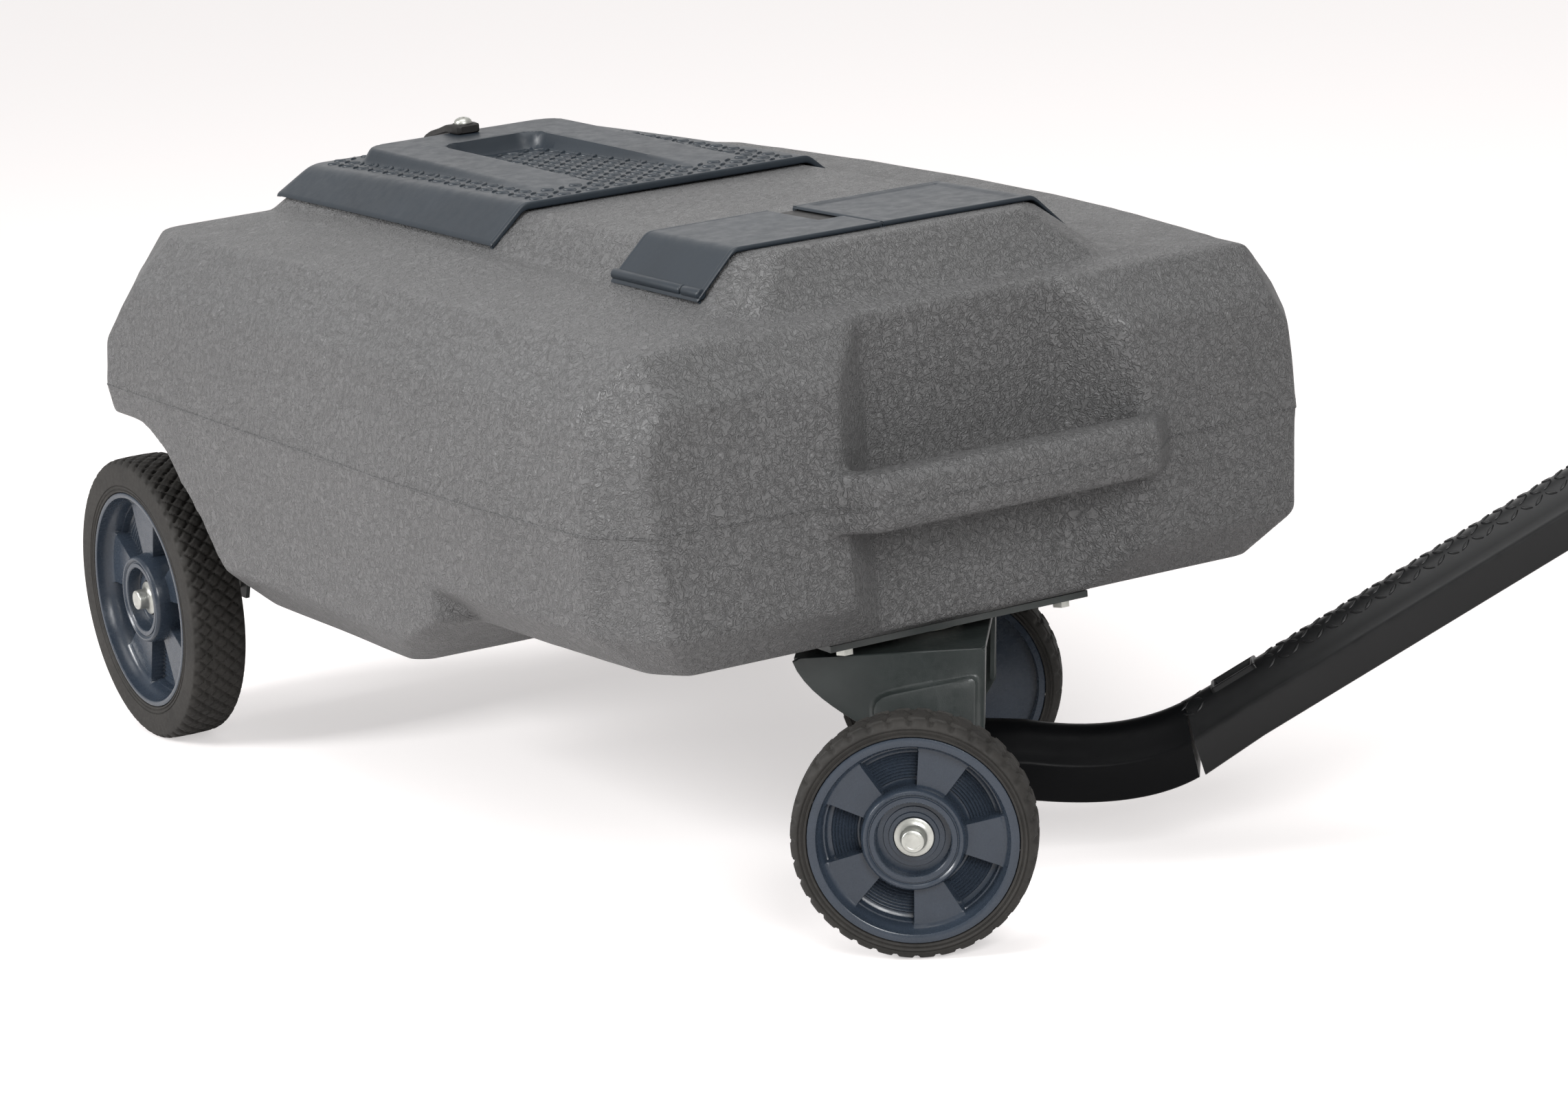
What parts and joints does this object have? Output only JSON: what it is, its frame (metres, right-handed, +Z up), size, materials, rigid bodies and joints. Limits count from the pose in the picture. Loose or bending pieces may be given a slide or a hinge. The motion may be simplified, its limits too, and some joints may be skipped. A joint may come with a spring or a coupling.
{
  "type": "portable waste tote",
  "caption": "Low hollow tank on wheels with hinged top covers, a moulded grab bar, a steered front axle and a pitching tow handle.",
  "frame": {"origin": "on the floor, in the middle of the whole tote's bounding box at rest, with the tow handle out to the left", "axes": "+X towards the tow end, +Y to the tote's left, +Z up"},
  "size_m": [1.6004, 1.0717, 0.5806],
  "materials": {
    "tank_grey": "pebble grain, satin",
    "cover_slate": "satin tread plate",
    "rim_navy": "gloss",
    "tyre_black": "matt rubber",
    "bar_black": "gloss, moulded relief",
    "rubber_black": "satin",
    "bracket_green": "satin paint",
    "zinc": "zinc plated",
    "hose_brown": "satin",
    "clear": "clear",
    "needle_red": "gloss"
  },
  "bodies": {
    "tank": {"tank_shell": "tank_grey", "front_plate": "cover_slate", "flap_pin": "zinc", "gauge_body": "cover_slate", "gauge_window": "clear", "rinse_neck": "rim_navy", "waste_port": "cover_slate", "waste_hose": "hose_brown", "rear_axle": "zinc", "axle_hanger_left": "bracket_green", "axle_hanger_right": "bracket_green", "hanger_bolt_left": "zinc", "hanger_bolt_right": "zinc", "rear_left_cap": "zinc", "rear_right_cap": "zinc", "steering_plate": "bracket_green", "plate_bolt_1": "zinc", "plate_bolt_2": "zinc", "plate_bolt_3": "zinc", "plate_bolt_4": "zinc", "kingpin": "zinc", "kingpin_nut": "zinc", "bearing_washer": "zinc"},
    "rear_cover": {"rear_cover": "cover_slate", "cover_strap": "rubber_black", "strap_screw": "zinc"},
    "front_flap": {"front_flap": "cover_slate"},
    "float": {"float_arm": "zinc", "float": "hose_brown"},
    "needle": {"gauge_needle": "needle_red"},
    "rinse_cap": {"rinse_cap": "rim_navy"},
    "port_cap": {"port_cap": "cover_slate"},
    "rear_left_wheel": {"rear_left_tyre": "tyre_black", "rear_left_rim": "rim_navy"},
    "rear_right_wheel": {"rear_right_tyre": "tyre_black", "rear_right_rim": "rim_navy"},
    "steering": {"steering_bracket": "bracket_green", "front_axle": "zinc", "inner_sleeve_left": "bracket_green", "inner_sleeve_right": "bracket_green", "outer_sleeve_left": "bracket_green", "outer_sleeve_right": "bracket_green", "front_left_cap": "zinc", "front_right_cap": "zinc"},
    "front_left_wheel": {"front_left_tyre": "tyre_black", "front_left_rim": "rim_navy"},
    "front_right_wheel": {"front_right_tyre": "tyre_black", "front_right_rim": "rim_navy"},
    "handle": {"drawbar": "bar_black", "handle_arm": "bar_black", "handle_grip": "rubber_black"}
  },
  "joints": [
    {"name": "rear_cover_hinge", "type": "hinge", "parent": "tank", "child": "rear_cover", "pos_m": [-0.1254, -0.1668, 0.5532], "axis": [0, 1, 0], "range_deg": [0, 80]},
    {"name": "front_flap_hinge", "type": "hinge", "parent": "tank", "child": "front_flap", "pos_m": [0.1821, -0.3483, 0.53], "axis": [1, 0, 0], "range_deg": [0, 110]},
    {"name": "float_pivot", "type": "hinge", "parent": "tank", "child": "float", "pos_m": [0.1796, -0.2588, 0.486], "axis": [0, 1, 0], "range_deg": [-34, 22]},
    {"name": "needle_spin", "type": "hinge", "parent": "tank", "child": "needle", "pos_m": [0.1796, -0.2588, 0.5225], "axis": [0, 0, 1], "range_deg": [-104, 68]},
    {"name": "rinse_cap_turn", "type": "hinge", "parent": "tank", "child": "rinse_cap", "pos_m": [0.1796, -0.2048, 0.53], "axis": [0, 0, 1], "range_deg": [0, 540]},
    {"name": "port_cap_turn", "type": "hinge", "parent": "tank", "child": "port_cap", "pos_m": [-0.6984, -0.1668, 0.262], "axis": [1, 0, 0], "range_deg": [0, 40]},
    {"name": "rear_left_spin", "type": "hinge", "parent": "tank", "child": "rear_left_wheel", "pos_m": [-0.6604, 0.1487, 0.1398], "axis": [0, 1, 0], "continuous": true},
    {"name": "rear_right_spin", "type": "hinge", "parent": "tank", "child": "rear_right_wheel", "pos_m": [-0.6604, -0.4823, 0.1398], "axis": [0, 1, 0], "continuous": true},
    {"name": "steer", "type": "hinge", "parent": "tank", "child": "steering", "pos_m": [0.2716, -0.1668, 0.214], "axis": [0, 0, 1], "range_deg": [-110, 5]},
    {"name": "front_left_spin", "type": "hinge", "parent": "steering", "child": "front_left_wheel", "pos_m": [0.07317, -0.02731, 0.1016], "axis": [-0.8181, 0.575, 0], "continuous": true},
    {"name": "front_right_spin", "type": "hinge", "parent": "steering", "child": "front_right_wheel", "pos_m": [0.47003, -0.30629, 0.1016], "axis": [-0.8181, 0.575, 0], "continuous": true},
    {"name": "handle_pitch", "type": "hinge", "parent": "steering", "child": "handle", "pos_m": [0.2716, -0.1668, 0.1016], "axis": [0.8181, -0.575, 0], "range_deg": [-16, 16]}
  ],
  "couplings": [
    {"joint": "needle_spin", "follows": "float_pivot", "ratio": 3}
  ]
}
